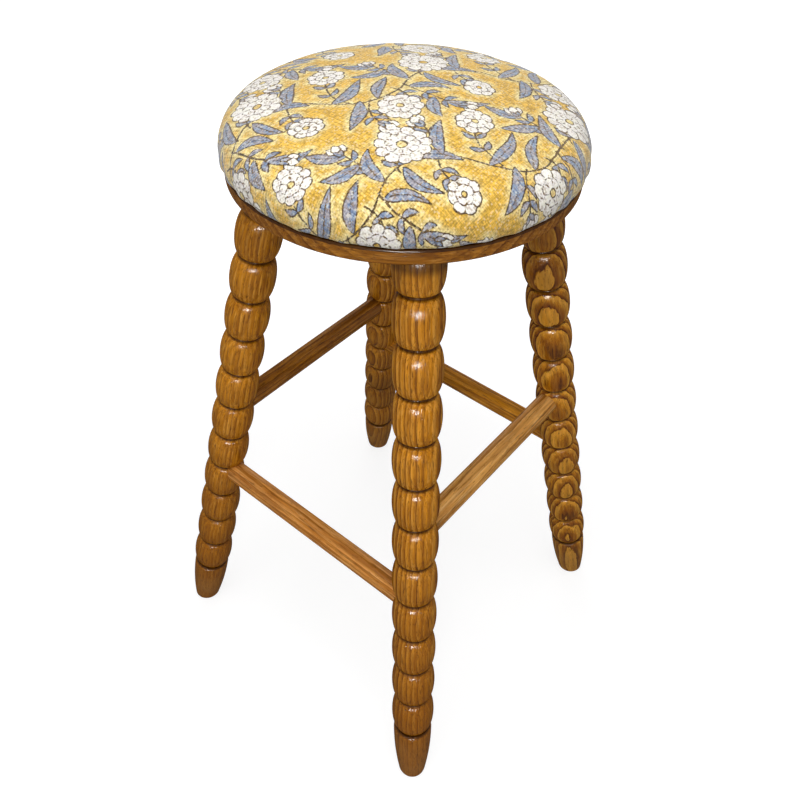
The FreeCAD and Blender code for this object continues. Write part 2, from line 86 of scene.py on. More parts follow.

# Stretchers: the axis they run along, the side they are on, their height and their stain. The paler stains
# on the front and right ones and the darker one on the left are painted light and shade.
STRETCHER_RADIUS = 12.5
STRETCHER_SHOULDER = 11.0
TENON_RADIUS = 8.0
TENON_LENGTH = 20.0
STRETCHERS = {
    "front": ("x", -1, 265.0, "tan"),
    "right": ("y", 1, 356.0, "straw"),
    "back": ("x", 1, 276.0, "honey"),
    "left": ("y", -1, 361.0, "brown"),
}
# Where a stretcher's pith lies from its axis (upwards, aside), and its rings' width and vigour
STRETCHER_PITH = (-38.0, 21.0)
STRETCHER_RING = 5.0
STRETCHER_VIGOUR = (0.1, 0.6)

# The seat board's grain, how far its pith lies below it, and its rings' width and vigour
BOARD_GRAIN = (0.78, 0.62, 0)
BOARD_PITH_DROP = 75.0
BOARD_RING = 6.5
BOARD_VIGOUR = (0.1, 0.7)
# Rings on the board's flat faces, and rows down its edge, of which the first ends the painted shade
BOARD_FACE_RINGS = (60.0, 140.0)
BOARD_EDGE_ROWS = (2.9, 5.2)

# Section of the seat pad above the board
PAD_HEIGHT = 62.0
PAD_OVERHANG = 2.4
PAD_WIDEST_RADIUS = BOARD_RADIUS + PAD_OVERHANG
PAD_WIDEST_HEIGHT = 7.5
PAD_SIDE_RADIUS = 36.5
PAD_TUCK_RADIUS = 6.0

# Fineness of the meshes: points round a turning, and rows along its parts
LEG_COLUMNS = 72
BEAD_ROWS = 29
GROOVE_ROWS = 11
SHOULDER_ROWS = 9
FOOT_ROWS = 18
EASE_ROWS = 6
STRETCHER_COLUMNS = 48
STRETCHER_ROWS = 41
BOARD_COLUMNS = 256
BOARD_ROUND_ROWS = 8

# Settings that many shader nodes share
BLEND = {"output": 2, "data_type": "RGBA"}
SMOOTH = {"interpolation_type": "SMOOTHSTEP"}
TIMES = {"operation": "MULTIPLY"}


def linear(colour):
    """The linear colour of an sRGB hex value."""
    parts = np.array([int(colour[i : i + 2], 16) for i in (1, 3, 5)]) / 255
    low = parts / 12.92
    high = ((parts + 0.055) / 1.055) ** 2.4
    return (*np.where(parts <= 0.04045, low, high).tolist(), 1.0)


def add(tree, kind, inputs=None, output=0, **settings):
    """Adds a node with its settings, links or sets its inputs, and returns one of its outputs."""
    node = tree.nodes.new(kind)
    for name, value in settings.items():
        setattr(node, name, value)
    for key, value in (inputs or {}).items():
        if isinstance(value, bpy.types.NodeSocket):
            tree.links.new(value, node.inputs[key])
        else:
            node.inputs[key].default_value = value
    return node.outputs[output] if node.outputs else None


def new_material(name):
    """A material with no nodes yet, and its node tree."""
    material = bpy.data.materials.new(name)
    material.use_nodes = True
    material.node_tree.nodes.clear()
    return material, material.node_tree


def place(name, points, faces, material):
    """Makes a smooth-shaded piece of the stool from points in millimetres."""
    mesh = bpy.data.meshes.new(name)
    mesh.from_pydata(points * MM, [], faces)
    mesh.polygons.foreach_set("use_smooth", np.ones(len(mesh.polygons), bool))
    mesh.materials.append(material)
    mesh.update()
    piece = bpy.data.objects.new(name, mesh)
    bpy.context.scene.collection.objects.link(piece)
    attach(piece, "root")
    return piece


def paint(piece, **fields):
    """Stores numbers on the piece's points, for its material to read."""
    for name, values in fields.items():
        layer = piece.data.attributes.new(name, "FLOAT", "POINT")
        layer.data.foreach_set("value", np.ascontiguousarray(values, np.float32))


def grid_quads(rows, columns):
    """Corners of the quads of a grid of points, numbered row by row."""
    row, column = np.meshgrid(np.arange(rows - 1), np.arange(columns - 1), indexing="ij")
    corner = (row * columns + column).ravel()
    return np.stack([corner, corner + columns, corner + columns + 1, corner + 1], 1)


def axes_along(axis, side):
    """Unit vectors of a turning: along its axis, to its side, and across both."""
    axis = np.asarray(axis) / np.linalg.norm(axis)
    side = np.asarray(side) - np.dot(side, axis) * axis
    side = side / np.linalg.norm(side)
    return axis, side, np.cross(side, axis)


def turned(start, axes, along, radius, columns):
    """Turning: point = start + along * axis + radius * (cos a * side + sin a * across).

    along and radius are given for each row, or for each row and column.
    """
    axis, side, across = axes
    angle = np.arange(columns) * 2 * np.pi / columns
    along, radius = (np.broadcast_to(x.reshape(len(x), -1), (len(x), columns)) for x in (along, radius))
    ring = np.cos(angle)[:, None] * side + np.sin(angle)[:, None] * across
    return np.asarray(start) + along[..., None] * axis + radius[..., None] * ring


def closed_skin(rings):
    """Points and faces of a stack of rings, shut by a fan at each end."""
    rows, columns, _ = rings.shape
    points = np.concatenate([rings.reshape(-1, 3), rings[[0, -1]].mean(1)])
    column = np.arange(columns)
    following = (column + 1) % columns
    row = np.arange(rows - 1)[:, None] * columns
    sides = np.stack([row + column, row + columns + column, row + columns + following, row + following], -1)
    top, bottom = rows * columns, rows * columns + 1
    last = (rows - 1) * columns
    first_fan = np.stack([np.full(columns, top), column, following], 1)
    last_fan = np.stack([np.full(columns, bottom), last + following, last + column], 1)
    return points, sides.reshape(-1, 4).tolist() + first_fan.tolist() + last_fan.tolist()


# Wood

def streaks(tree, wood, width, length, low=0.3, high=0.7, detail=2.0):
    """Noise drawn out along the grain, its width and length in millimetres, from 0 at low to 1 at high."""
    drawn = add(tree, "ShaderNodeVectorMath", {0: wood, 1: (1 / width, 1 / width, 1 / length)}, **TIMES)
    noise = add(tree, "ShaderNodeTexNoise", {"Vector": drawn, "Scale": 1.0, "Detail": detail})
    return add(tree, "ShaderNodeMapRange", {0: noise, 1: low, 2: high})


def lacquered_hardwood(name, pith, grain, ring, vigour, colours, painted_shade_depth=(0.0, 0.0), waver=1.5, hollows=False):
    """Open-pored hardwood, turned, stained honey brown and lacquered to a satin gloss.

    Growth rings are shells round the pith: a bead cut across them shows lines, and one cut along
    them shows ovals. A ring goes slowly from pale to dark and starts pale again, each with its own
    vigour. Streaks, fibres and pores run with the grain. Painted shade darkens the turned grooves
    and the other places marked by the hollow attribute.
    Painted shade darkens it by shares under the seat and towards the floor.
    """
    amber, gold, honey, umber, dark = (linear(c) for c in colours)
    material, tree = new_material(name)
    axis, side, across = grain
    turn = Matrix((side, across, -axis)).transposed().to_euler()
    place_in_tree = add(tree, "ShaderNodeTexCoord", output="Object")
    wood = add(
        tree, "ShaderNodeMapping",
        {"Vector": place_in_tree, "Location": np.asarray(pith) * MM, "Rotation": turn, "Scale": (MM, MM, MM)},
        vector_type="TEXTURE",
    )

    # The rings waver by a share of their width, over 40 mm across the grain and 190 mm along it
    slow = add(tree, "ShaderNodeVectorMath", {0: wood, 1: (1 / 40, 1 / 40, 1 / 190)}, **TIMES)
    wander = add(
        tree, "ShaderNodeTexNoise", {"Vector": slow, "Scale": 1.0, "Detail": 5.0, "Roughness": 0.62},
        output="Color",
    )
    wander = add(tree, "ShaderNodeVectorMath", {0: wander, 1: (0.5, 0.5, 0.5)}, operation="SUBTRACT")
    wander = add(tree, "ShaderNodeVectorMath", {0: wander, 1: (waver * ring, waver * ring, 0)}, **TIMES)
    across_grain = add(tree, "ShaderNodeVectorMath", {0: wood, 1: (1, 1, 0)}, **TIMES)
    across_grain = add(tree, "ShaderNodeVectorMath", {0: across_grain, 1: wander}, operation="ADD")
    reach = add(tree, "ShaderNodeVectorMath", {0: across_grain}, output="Value", operation="LENGTH")
    phase = add(tree, "ShaderNodeMath", {0: reach, 1: ring}, operation="DIVIDE")
    year = add(tree, "ShaderNodeMath", {0: phase}, operation="FLOOR")
    season = add(tree, "ShaderNodeMath", {0: phase}, operation="FRACT")
    growth = add(tree, "ShaderNodeTexWhiteNoise", {"W": year}, noise_dimensions="1D")
    growth = add(tree, "ShaderNodeMapRange", {0: growth, 3: vigour[0], 4: vigour[1]})
    fresh = add(tree, "ShaderNodeMapRange", {0: season, 1: 0.95, 2: 1.0, 3: 1.0, 4: 0.0})
    growth = add(tree, "ShaderNodeMath", {0: growth, 1: fresh}, **TIMES)
    late = add(tree, "ShaderNodeMapRange", {0: season, 1: 0.3, 2: 0.9}, **SMOOTH)
    late = add(tree, "ShaderNodeMath", {0: late, 1: growth}, **TIMES)
    early = add(tree, "ShaderNodeMapRange", {0: season, 1: 0.6, 2: 0.1}, **SMOOTH)
    early = add(tree, "ShaderNodeMath", {0: early, 1: growth}, **TIMES)
    line = add(tree, "ShaderNodeMapRange", {0: season, 1: 0.76, 2: 0.94}, **SMOOTH)
    line = add(tree, "ShaderNodeMath", {0: line, 1: growth}, **TIMES)
    # The lines fade in and out along the grain
    whole = streaks(tree, wood, 7, 45, 0.3, 0.5)
    line = add(tree, "ShaderNodeMath", {0: line, 1: whole}, **TIMES)

    # Streaks and fine checks, and fibres and pores drawn about twice as coarse as they are
    streak = streaks(tree, wood, 3.2, 70, 0.42, 0.62)
    shine = streaks(tree, wood, 2.4, 45, 0.5, 0.7)
    check = streaks(tree, wood, 1.7, 26, 0.6, 0.7)
    fibre = streaks(tree, wood, 1.1, 50, detail=3.0)
    pore = streaks(tree, wood, 0.7, 7, 0.62, 0.72, detail=1.0)
    # Clouds in the stain, 35 mm across
    cloud = add(tree, "ShaderNodeTexNoise", {"Vector": place_in_tree, "Scale": 1 / (35 * MM), "Detail": 3.0})
    cloud = add(tree, "ShaderNodeMapRange", {0: cloud, 1: 0.35, 2: 0.65})

    tone = add(tree, "ShaderNodeMix", {0: cloud, 6: honey, 7: gold}, **BLEND)
    # Painted shade: darker from 480 mm up towards the seat, and from 430 mm down to the floor
    up = add(tree, "ShaderNodeSeparateXYZ", {0: place_in_tree}, output="Z")
    shade_under_seat = add(tree, "ShaderNodeMapRange", {0: up, 1: 480 * MM, 2: 610 * MM})
    shade_towards_floor = add(tree, "ShaderNodeMapRange", {0: up, 1: 430 * MM, 2: 0.0})
    # The feet are scuffed pale up to 90 mm from the floor
    scuff = add(tree, "ShaderNodeMapRange", {0: up, 1: 90 * MM, 2: 25 * MM})
    rubbed = add(tree, "ShaderNodeMapRange", {0: cloud, 3: 0.4, 4: 1.0})
    scuff = add(tree, "ShaderNodeMath", {0: scuff, 1: rubbed}, **TIMES)
    # Grain, stain and wear marks, and the painted shade under the seat and towards the floor
    marks = (
        (shine, 0.7, amber), (streak, 0.6, umber), (fibre, 0.3, umber), (early, 0.5, amber),
        (late, 0.85, umber), (shade_under_seat, painted_shade_depth[0], dark), (shade_towards_floor, painted_shade_depth[1], umber),
        (line, 0.85, dark), (check, 0.6, dark), (scuff, 0.45, linear("#a87b45")), (pore, 0.5, dark),
    )
    for mark, share, stain in marks:
        share = add(tree, "ShaderNodeMath", {0: mark, 1: share}, **TIMES)
        tone = add(tree, "ShaderNodeMix", {0: share, 6: tone, 7: stain}, **BLEND)
    if hollows:
        # Painted shade: the turned grooves, a leg's top under the board, and the board's edge under the cover
        hollow = add(tree, "ShaderNodeAttribute", output="Fac", attribute_name="hollow")
        hollow = add(tree, "ShaderNodeMapRange", {0: hollow, 1: 0.05, 2: 0.85, 4: 0.82}, **SMOOTH)
        tone = add(tree, "ShaderNodeMix", {0: hollow, 6: tone, 7: linear("#2e1402")}, **BLEND)

    height = add(tree, "ShaderNodeMath", {0: streak, 1: fibre}, operation="ADD")
    height = add(tree, "ShaderNodeMath", {0: height, 1: pore}, operation="SUBTRACT")
    bump = add(tree, "ShaderNodeBump", {"Strength": 0.7, "Distance": 0.4 * MM, "Height": height})
    filled = add(tree, "ShaderNodeBump", {"Strength": 0.3, "Distance": 0.3 * MM, "Height": height})
    # Lacquer half fills the grain; its high index shines about as much at a turning's sides as on its face
    surface = add(
        tree, "ShaderNodeBsdfPrincipled",
        {
            "Base Color": tone, "Roughness": 0.45, "Normal": bump, "Specular IOR Level": 0.0,
            "Coat Weight": 0.035, "Coat IOR": 3.0, "Coat Roughness": 0.14, "Coat Normal": filled,
        },
    )
    add(tree, "ShaderNodeOutputMaterial", {"Surface": surface})
    return material


# Stains, from worn thin to darkest
STAINS = {
    "honey": ("#eaa944", "#dc911f", "#c57d0b", "#884d07", "#401c02"),
    "russet": ("#f6b648", "#e0951f", "#bf7608", "#773d07", "#361502"),
    # tan and straw are paler stains, painted light on the front and right stretchers
    "tan": ("#f2b86c", "#e29945", "#cb812f", "#8e5017", "#4a260a"),
    "straw": ("#f4c67e", "#e8a752", "#d4903b", "#985c1f", "#522e0c"),
    "brown": ("#c68a3c", "#ad6e18", "#945909", "#693906", "#2e1402"),
    "bare": ("#b98a52", "#a9783f", "#94622c", "#7a4d1d", "#573312"),
}


# Legs

def leg_radius(s):
    """Radius of a leg at a distance s along its axis below the seat board.

    A bead is the stretch of an ellipse between two rims, r = middle + swell * sqrt(1 - (x / half_length)^2);
    a groove sinks from its rims by depth * sin(90 deg * share of the way to its bottom);
    the foot is a small shoulder arc and a long arc.
    """
    half_length = BEAD_HALF + BEAD_LEAD
    swell = (BEAD_RADIUS - RIM_RADIUS) / (1 - math.sqrt(1 - (BEAD_HALF / half_length) ** 2))
    x = np.abs(np.mod(s + GROOVE_LIFT, BEAD_PITCH) - BEAD_PITCH / 2)
    bead = BEAD_RADIUS - swell + swell * np.sqrt(np.clip(1 - (x / half_length) ** 2, 0, 1))
    sunk = np.sin(np.pi / GROOVE_WIDTH * (x - BEAD_HALF))
    turned_part = np.where(x <= BEAD_HALF, bead, RIM_RADIUS - (RIM_RADIUS - GROOVE_RADIUS) * sunk)

    shoulder = np.array([NECK_RADIUS, FOOT_TOP + FOOT_SHOULDER])
    tip = np.array([FOOT_TIP_RADIUS, LEG_LENGTH])
    inner = FOOT_CURVE - FOOT_SHOULDER
    gap = np.linalg.norm(tip - shoulder)
    unit = (tip - shoulder) / gap
    share = (gap**2 + inner**2 - FOOT_CURVE**2) / (2 * gap)
    centre = shoulder + unit * share + np.array([-unit[1], unit[0]]) * math.sqrt(inner**2 - share**2)
    touch = shoulder[1] + (shoulder - centre)[1] * FOOT_SHOULDER / inner
    small = NECK_RADIUS + np.sqrt(np.clip(FOOT_SHOULDER**2 - (s - shoulder[1]) ** 2, 0, None))
    large = centre[0] + np.sqrt(np.clip(FOOT_CURVE**2 - (s - centre[1]) ** 2, 0, None))
    foot = np.where(s < touch, small, large)
    return np.select([s <= 0, s < FOOT_TOP], [NECK_RADIUS, turned_part], foot)


def make_leg(corner, bearing, pith, slant, ring, waver, vigour, painted_shade_depth, stain):
    """A turned leg, let into the board and cut level at the floor with an eased edge.

    Its rows follow leg_radius down the axis; the foot's rows run to where the skin meets the floor.
    """
    out = np.array([math.cos(bearing), math.sin(bearing), 0])
    top = out * LEG_TOP_REACH + np.array([0, 0, SEAT_UNDERSIDE])
    axes = axes_along(out * LEG_SPLAY - np.array([0, 0, SEAT_UNDERSIDE]), out)

    over_bead = BEAD_HALF * np.sin(np.linspace(-np.pi / 2, np.pi / 2, BEAD_ROWS))
    in_groove = BEAD_PITCH / 2 + GROOVE_WIDTH * np.linspace(-0.5, 0.5, GROOVE_ROWS)[1:-1]
    turns = (np.arange(BEAD_COUNT)[:, None] + 0.5) * BEAD_PITCH + np.concatenate([over_bead, in_groove])
    turns = turns.ravel() - GROOVE_LIFT
    # The last groove's rows stop at its bottom
    half_row = GROOVE_WIDTH / (GROOVE_ROWS - 1) / 2
    body = np.concatenate([[-LEG_START, 0.0], turns[turns < LAST_GROOVE + half_row]])
    # A few rounds find where the skin meets the floor, as its radius there depends on the place
    angle = np.arange(LEG_COLUMNS) * 2 * np.pi / LEG_COLUMNS
    sole = np.full(LEG_COLUMNS, LEG_LENGTH)
    for _ in range(8):
        lift = leg_radius(sole) * math.sin(LEG_LEAN) * np.cos(angle)
        sole = (SEAT_UNDERSIDE - FOOT_ROUND + lift) / math.cos(LEG_LEAN)
    # Rows stand close together over the foot's shoulder
    shoulder_share = 0.09
    over_shoulder = np.linspace(0, 1, SHOULDER_ROWS)[:-1] ** 2 * shoulder_share
    share = np.concatenate([over_shoulder, np.linspace(shoulder_share, 1, FOOT_ROWS)])
    foot = FOOT_TOP + share[:, None] * (sole - FOOT_TOP)
    along = np.concatenate([np.broadcast_to(body[:, None], (len(body), LEG_COLUMNS)), foot])
    radius = leg_radius(along)
    rings = turned(top, axes, along, radius, LEG_COLUMNS)
    rings[..., 2] = np.minimum(rings[..., 2], SEAT_UNDERSIDE + LEG_LET_IN)

    rim = rings[-1]
    inwards = rim.mean(0) - rim
    inwards[:, 2] = 0
    inwards /= np.linalg.norm(inwards, axis=1)[:, None]
    ease = np.linspace(0, np.pi / 2, EASE_ROWS)[1:, None, None]
    eased = rim + inwards * FOOT_ROUND * (1 - np.cos(ease))
    eased[..., 2] = FOOT_ROUND * (1 - np.sin(ease[..., 0]))
    points, faces = closed_skin(np.concatenate([rings, eased]))

    # Painted shade, deepest at a groove's bottom and fading fast down the foot's shoulder below the last
    # groove
    depth = np.clip((RIM_RADIUS - radius) / (RIM_RADIUS - GROOVE_RADIUS), 0, 1)
    depth = np.where(along < FOOT_TOP, depth, np.exp((FOOT_TOP - along) / FOOT_SHADE_FADE))
    # Painted shadow of the board over the top of the leg
    board_shadow = np.clip((BOARD_SHADOW_ENDS - along) / (BOARD_SHADOW_ENDS - BOARD_SHADOW_FADES), 0, 1)
    depth = np.maximum(depth, BOARD_SHADOW * board_shadow)
    hollow = np.concatenate([depth.ravel(), np.zeros(len(points) - depth.size)])

    grain = axes_along(axes[0] + math.tan(slant) * axes[2], axes[1])
    centre = top + axes[1] * pith[0] + axes[2] * pith[1]
    material = lacquered_hardwood(
        f"lacquered_hardwood_leg_{corner}", centre, grain, ring, vigour, STAINS[stain], painted_shade_depth, waver,
        hollows=True,
    )
    leg = place(f"turned_leg_{corner}", points, faces, material)
    paint(leg, hollow=hollow)
    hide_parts(f"leg_{corner}")


# Each leg's bearing, where the pith lies from its axis (outwards, across), how far the grain slants
# across the leg in degrees, the width, waver and vigour of its rings, how deep its painted shade is
# under the seat and towards the floor, and its stain
LEGS = {
    "front_left": (225, (64.0, -8.0), 1.0, 4.5, 1.5, (0.0, 0.45), (0.15, 0.85), "honey"),
    "front_right": (315, (-6.0, -58.0), 0.6, 5.6, 1.5, (0.0, 1.0), (0.05, 0.95), "honey"),
    "back_right": (45, (8.0, 77.7), 6.0, 6.6, 2.6, (0.7, 1.0), (0.45, 0.1), "russet"),
    "back_left": (135, (-50.0, 40.0), 1.5, 5.5, 1.5, (0.2, 0.9), (0.7, 0.4), "honey"),
}
for corner, (bearing, pith, slant, ring, waver, vigour, painted_shade_depth, stain) in LEGS.items():
    make_leg(corner, math.radians(bearing), pith, math.radians(slant), ring, waver, vigour, painted_shade_depth, stain)


# Stretchers

def make_stretcher(side_name, direction, sign, height, stain):
    """A round rod with a tenon at each end: rings of one radius between the shoulders."""
    off_centre = (LEG_TOP_REACH + LEG_SPLAY * (1 - height / SEAT_UNDERSIDE)) * math.sqrt(0.5)
    half = off_centre - STRETCHER_SHOULDER
    axis, away = np.eye(3)[[0, 1] if direction == "x" else [1, 0]]
    middle = sign * off_centre * away + np.array([0, 0, height])
    axes = axes_along(axis, (0, 0, 1))
    rod = np.linspace(-half, half, STRETCHER_ROWS)
    along = np.concatenate([[-half - TENON_LENGTH, -half], rod, [half, half + TENON_LENGTH]])
    radius = np.concatenate([[TENON_RADIUS] * 2, np.full(len(rod), STRETCHER_RADIUS), [TENON_RADIUS] * 2])
    points, faces = closed_skin(turned(middle, axes, along, radius, STRETCHER_COLUMNS))
    pith = middle + axes[1] * STRETCHER_PITH[0] + axes[2] * STRETCHER_PITH[1] * sign
    material = lacquered_hardwood(
        f"lacquered_hardwood_stretcher_{side_name}", pith, axes, STRETCHER_RING, STRETCHER_VIGOUR,
        STAINS[stain],
    )
    rod_piece = place(f"turned_stretcher_{side_name}", points, faces, material)
    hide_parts(f"stretcher_{side_name}")


for side_name, (direction, sign, height, stain) in STRETCHERS.items():
    make_stretcher(side_name, direction, sign, height, stain)


# Seat board

def make_seat_board():
    """A disc turned about the stool's axis, with a quarter round at each rim.

    Painted shade darkens its edge where the cover overhangs it.
    """
    quarter = np.linspace(0, np.pi / 2, BOARD_ROUND_ROWS)
    thickness = BOARD_TOP - SEAT_UNDERSIDE
    upper_along = BOARD_UPPER_ROUND * (1 - np.cos(quarter))
    upper_radius = BOARD_RADIUS - BOARD_UPPER_ROUND * (1 - np.sin(quarter))
    lower_along = thickness - BOARD_LOWER_ROUND * (1 - np.sin(quarter))
    lower_radius = BOARD_RADIUS - BOARD_LOWER_ROUND * (1 - np.cos(quarter))
    along = np.concatenate([[0, 0], upper_along, BOARD_EDGE_ROWS, lower_along, [thickness] * 2])
    edge_radius = [BOARD_RADIUS] * len(BOARD_EDGE_ROWS)
    radius = np.concatenate(
        [BOARD_FACE_RINGS, upper_radius, edge_radius, lower_radius, BOARD_FACE_RINGS[::-1]]
    )
    axes = axes_along((0, 0, -1), (1, 0, 0))
    points, faces = closed_skin(turned((0, 0, BOARD_TOP), axes, along, radius, BOARD_COLUMNS))
    pith = (0, 0, SEAT_UNDERSIDE - BOARD_PITH_DROP)
    grain = axes_along(BOARD_GRAIN, (0, 0, 1))
    material = lacquered_hardwood(
        "lacquered_hardwood_board", pith, grain, BOARD_RING, BOARD_VIGOUR, STAINS["brown"], hollows=True
    )
    board = place("round_seat_board", points, faces, material)
    # Painted shade on the board's top face and down its edge to the first edge row, under the cover's
    # overhang
    hollow = np.repeat(np.where(along < BOARD_EDGE_ROWS[0], 1.0, 0.0), BOARD_COLUMNS)
    paint(board, hollow=np.append(hollow, [1.0, 0.0]))
    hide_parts("seat_board")


make_seat_board()


# Printed cloth

# Width and height of one block of the print, its turn on the cloth, and the widths of the lines:
# round each motif, of stems, between petals, and of veins and inner petals
BLOCK = np.array([126.0, 164.0])
BLOCK_TURN = math.radians(25)
LINE = 1.2
STEM_LINE = 1.7
PETAL_LINE = 1.1
VEIN_LINE = 1.0
# Distance that counts as away from a motif, and how far to work out a leaflet or leaf from its middle,
# and a bud from its base
FAR = 9.0
LEAFLET_REACH = 14.0
LEAF_REACH = 46.0
BUD_REACH = 24.0

# One block of the print, in millimetres of cloth: blooms (centre, radius, petals, turn),
# stems (start, control, end), leaves (start, tip, width, bow) and buds (base, tip, width)
BLOOMS = (
    ((-38, 36), 24, 11, 0.2),
    ((38, -24), 20, 9, 0.5),
    ((28, 58), 15, 7, 0.1),
    ((-46, -58), 17, 8, 0.9),
)
STEMS = (
    ((0, -82), (40, -41), (0, 0)),
    ((0, 0), (-40, 41), (0, 82)),
    ((6, -18), (18, -6), (34, -14)),
    ((-8, 20), (-20, 18), (-30, 28)),
    ((-12, 55), (4, 50), (20, 55)),
    ((13, -62), (-14, -75), (-38, -62)),
    ((18, -43), (36, -56), (55, -50)),
    ((-18, 45), (-38, 66), (-55, 62)),
    ((-2, 6), (-30, -2), (-48, -14)),
    ((2, -4), (34, 6), (54, 26)),
)
LEAVES = (
    ((8, -74), (-24, -34), 12, -5),
    ((19, -36), (-17, -12), 11, 4),
    ((15, -52), (52, -77), 12, 4),
    ((8, -2), (26, 30), 11, 5),
    ((-4, 4), (-46, 8), 12, 5),
    ((-13, 24), (22, 42), 11, -5),
    ((-18, 40), (-3, 74), 11, 5),
    ((-15, 60), (-56, 80), 12, 5),
    ((34, 8), (66, 2), 12, -4),
    ((44, 15), (58, 52), 11, -5),
    ((-30, -4), (-32, -40), 12, 4),
    ((-44, -11), (-66, -38), 12, 4),
)
BUDS = (
    ((55, -50), (67, -44), 11),
    ((-55, 62), (-67, 58), 11),
    ((54, 26), (62, 36), 10),
    ((-48, -14), (-60, -14), 10),
)
# Leaflets: how far along a stem they grow, how far on and aside their tips are, and their width and bow
LEAFLET_PLACES = (0.4, 0.72)
LEAFLET_TIP = (9.0, 10.0)
LEAFLET_WIDTH = 5.5
LEAFLET_BOW = 1.5


def leaflets():
    """Small leaves in pairs along the side stems."""
    for start, control, end in STEMS[2:]:
        start, control, end = (np.array(spot, float) for spot in (start, control, end))
        for t in LEAFLET_PLACES:
            base = (1 - t) ** 2 * start + 2 * t * (1 - t) * control + t**2 * end
            run = (1 - t) * (control - start) + t * (end - control)
            run /= np.hypot(*run)
            for hand in (-1, 1):
                tip = base + LEAFLET_TIP[0] * run + hand * LEAFLET_TIP[1] * np.array([-run[1], run[0]])
                yield base, tip, LEAFLET_WIDTH, hand * LEAFLET_BOW


def along_line(points, start, end):
    """Share of the way from start to end, distance to the left of that line, and its length."""
    run = np.subtract(end, start)
    length = np.hypot(*run)
    away = points - np.asarray(start)
    return away @ run / length**2, away @ np.array([-run[1], run[0]]) / length, length


def lens(points, start, end, width, bow, blunt=0.8):
    """Distance to a bowed lens: |offset - 4 bow t (1 - t)| less half the width times sin(pi t^blunt)^0.85."""
    share, offset, length = along_line(points, start, end)
    inside = np.clip(share, 0, 1)
    half = width / 2 * np.sin(np.pi * inside**blunt) ** 0.85
    past_end = (share - inside) * length
    beside = np.abs(offset - bow * 4 * inside * (1 - inside)) - half
    return np.where(past_end == 0, beside, np.hypot(past_end, offset))


def midrib(points, start, end, bow):
    """Distance to the bowed middle line of a lens, over most of its length."""
    share, offset, _ = along_line(points, start, end)
    inside = np.clip(share, 0, 1)
    return np.where((share > 0.1) & (share < 0.86), np.abs(offset - bow * 4 * inside * (1 - inside)), FAR)


def polar(points, centre, turn, petals):
    """Distance from a bloom's centre, and half the bearing times the number of petals."""
    away = points - np.asarray(centre)
    return np.hypot(*away.T), (np.arctan2(away[:, 1], away[:, 0]) - turn) * petals / 2


def rosette(points, centre, radius, petals, turn):
    """Distance to a scalloped edge: radius * (0.84 + 0.16 |cos(half bearing * petals)|^0.6)."""
    reach, beat = polar(points, centre, turn, petals)
    return reach - radius * (0.84 + 0.16 * np.abs(np.cos(beat)) ** 0.6)


def petal_lines(points, centre, radius, petals, turn, low, high):
    """Distance to the lines between petals, from low to high shares of the radius."""
    reach, beat = polar(points, centre, turn, petals)
    shown = (reach > low * radius) & (reach < high * radius)
    return np.where(shown, reach * np.abs(np.cos(beat)) * 2 / petals, FAR)


def nearby(points, centre, reach, shape, *sizes):
    """Distance to a shape, worked out only for the points within reach of its centre."""
    distance = np.full(len(points), FAR)
    near = np.hypot(*(points - np.asarray(centre)).T) < reach
    distance[near] = np.minimum(shape(points[near], *sizes), FAR)
    return distance


def stem(points, start, control, end):
    """Distance to a quadratic curve, taken as fourteen short lines."""
    t = np.linspace(0, 1, 15)[:, None]
    bend = (1 - t) ** 2 * np.array(start) + 2 * t * (1 - t) * np.array(control) + t**2 * np.array(end)
    nearest = np.full(len(points), FAR)
    for here, there in zip(bend[:-1], bend[1:]):
        share = np.clip(along_line(points, here, there)[0], 0, 1)[:, None]
        nearest = np.minimum(nearest, np.hypot(*(points - here - share * (there - here)).T))
    return nearest


